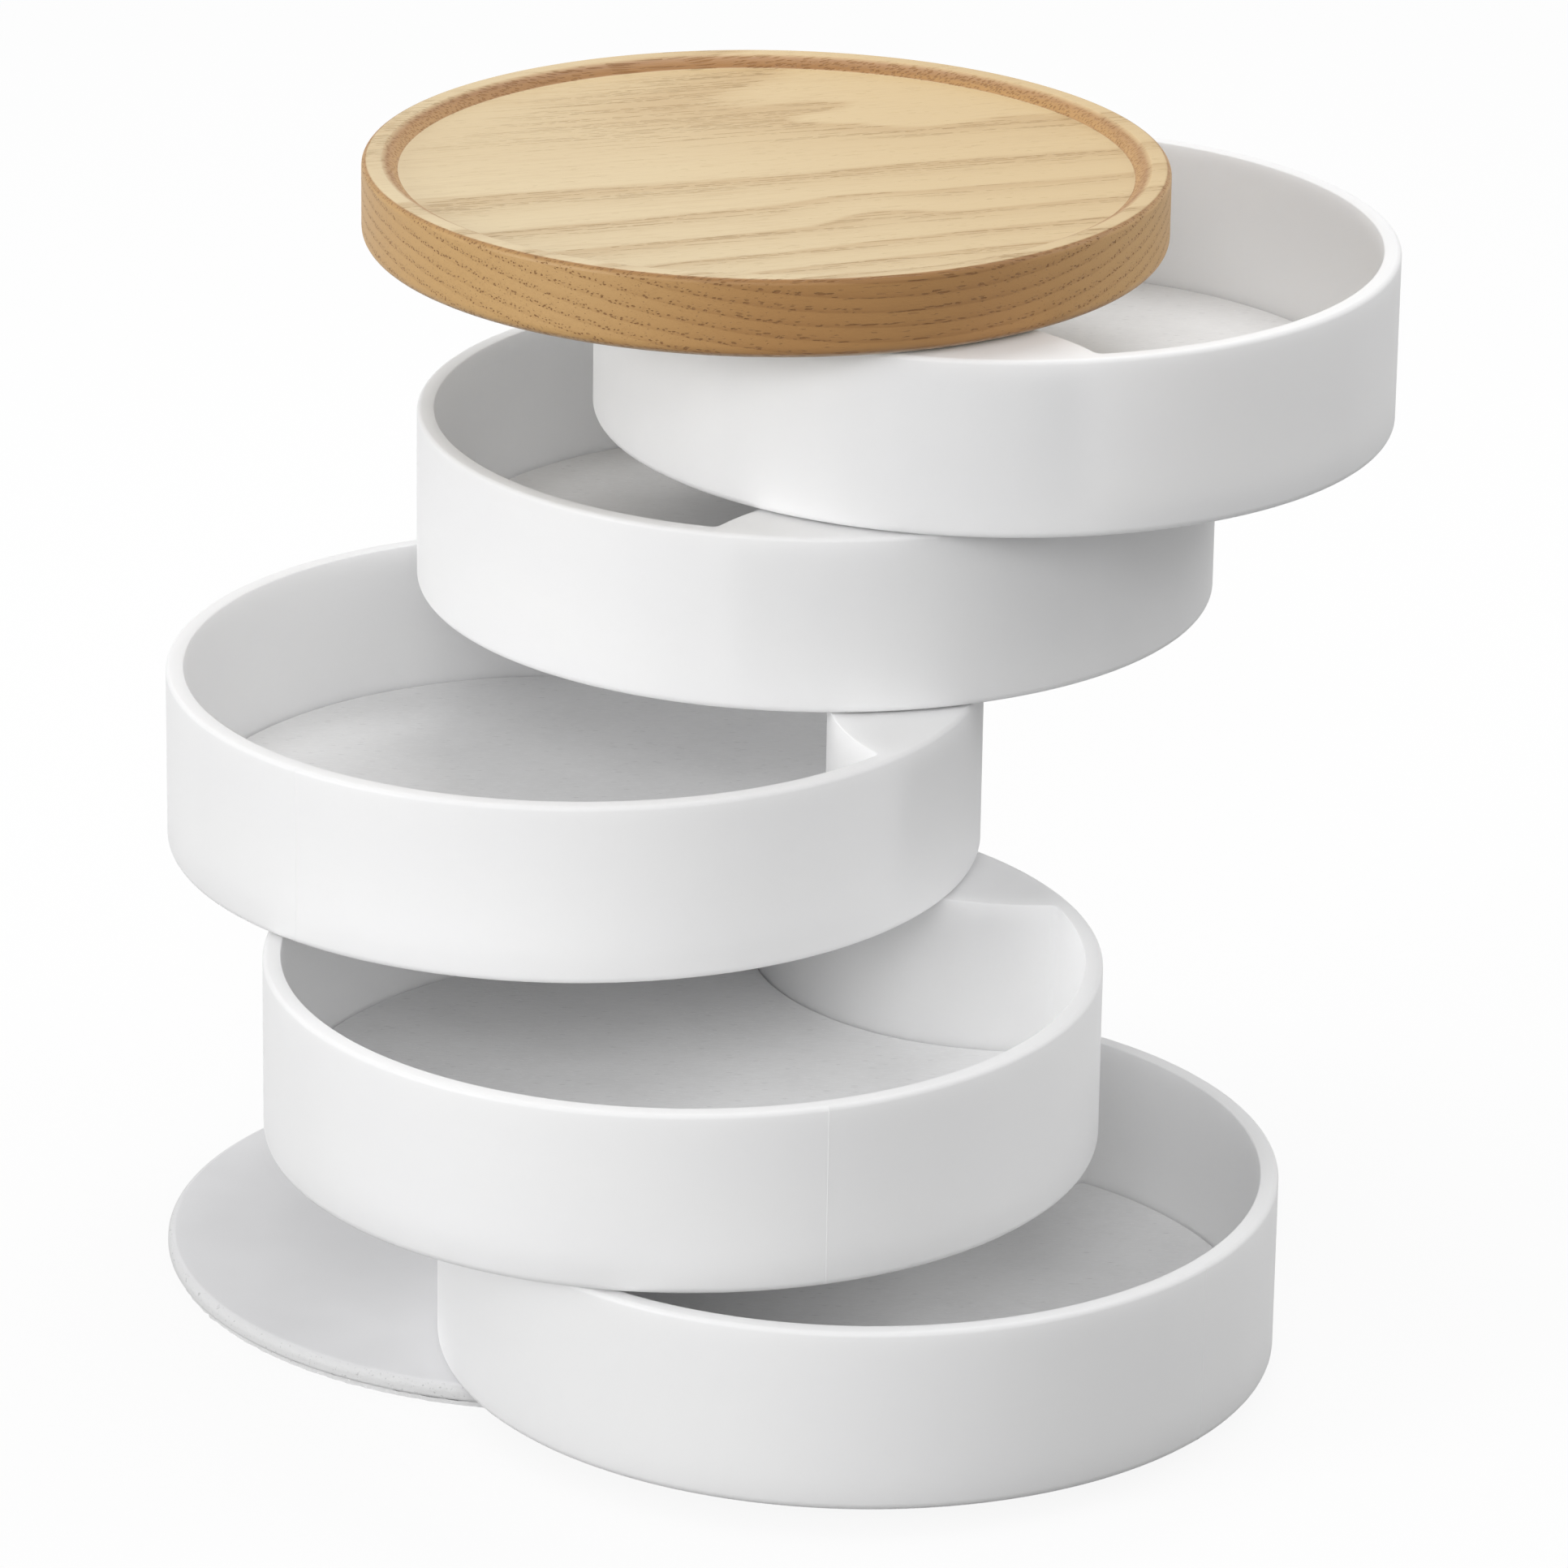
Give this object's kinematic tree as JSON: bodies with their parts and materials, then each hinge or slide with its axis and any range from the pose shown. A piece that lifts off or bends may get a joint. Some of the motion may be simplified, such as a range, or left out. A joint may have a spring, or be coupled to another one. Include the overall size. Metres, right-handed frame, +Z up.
{
  "type": "tiered accessory box",
  "caption": "Tiered accessory box: round felt-lined trays under a dished wooden lid, all swivelling on a common upright pivot over a flat disc base.",
  "frame": {"origin": "centre of the underside of the base disc's felt pad, on the table", "axes": "+Z up along the pivot; +Y away from the viewer of the picture; +X to that viewer's right"},
  "size_m": [0.1814, 0.2148, 0.1516],
  "materials": {
    "tray_plastic": "fine matte moulded white ABS",
    "liner_felt": "thin pressed felt, light grey",
    "ash": "solid ash, sanded, thin matte clear lacquer",
    "coated_steel": "matte white powder coat on steel",
    "pad_felt": "thin grey felt pad",
    "brass": "turned and knurled brass",
    "steel": "plain turned steel",
    "nylon": "natural nylon"
  },
  "bodies": {
    "base": {"base_plate": "coated_steel", "base_pad": "pad_felt"},
    "lid": {"lid_board": "ash", "lid_insert": "brass", "lid_spacer": "nylon", "pivot_screw": "steel", "pivot_washer": "nylon"},
    "tray_1": {"tray_1_shell": "tray_plastic", "tray_1_liner": "liner_felt", "tray_1_spacer": "nylon"},
    "tray_2": {"tray_2_shell": "tray_plastic", "tray_2_liner": "liner_felt", "tray_2_spacer": "nylon"},
    "tray_3": {"tray_3_shell": "tray_plastic", "tray_3_liner": "liner_felt", "tray_3_spacer": "nylon"},
    "tray_4": {"tray_4_shell": "tray_plastic", "tray_4_liner": "liner_felt", "tray_4_spacer": "nylon"},
    "tray_5": {"tray_5_shell": "tray_plastic", "tray_5_liner": "liner_felt", "tray_5_spacer": "nylon"}
  },
  "joints": [
    {"name": "lid_swivel", "type": "hinge", "parent": "base", "child": "lid", "pos_m": [0.04722, 0.01064, 0], "axis": [0, 0, 1], "continuous": true},
    {"name": "tray_1_swivel", "type": "hinge", "parent": "base", "child": "tray_1", "pos_m": [0.04722, 0.01064, 0], "axis": [0, 0, 1], "continuous": true},
    {"name": "tray_2_swivel", "type": "hinge", "parent": "base", "child": "tray_2", "pos_m": [0.04722, 0.01064, 0], "axis": [0, 0, 1], "continuous": true},
    {"name": "tray_3_swivel", "type": "hinge", "parent": "base", "child": "tray_3", "pos_m": [0.04722, 0.01064, 0], "axis": [0, 0, 1], "continuous": true},
    {"name": "tray_4_swivel", "type": "hinge", "parent": "base", "child": "tray_4", "pos_m": [0.04722, 0.01064, 0], "axis": [0, 0, 1], "continuous": true},
    {"name": "tray_5_swivel", "type": "hinge", "parent": "base", "child": "tray_5", "pos_m": [0.04722, 0.01064, 0], "axis": [0, 0, 1], "continuous": true}
  ]
}
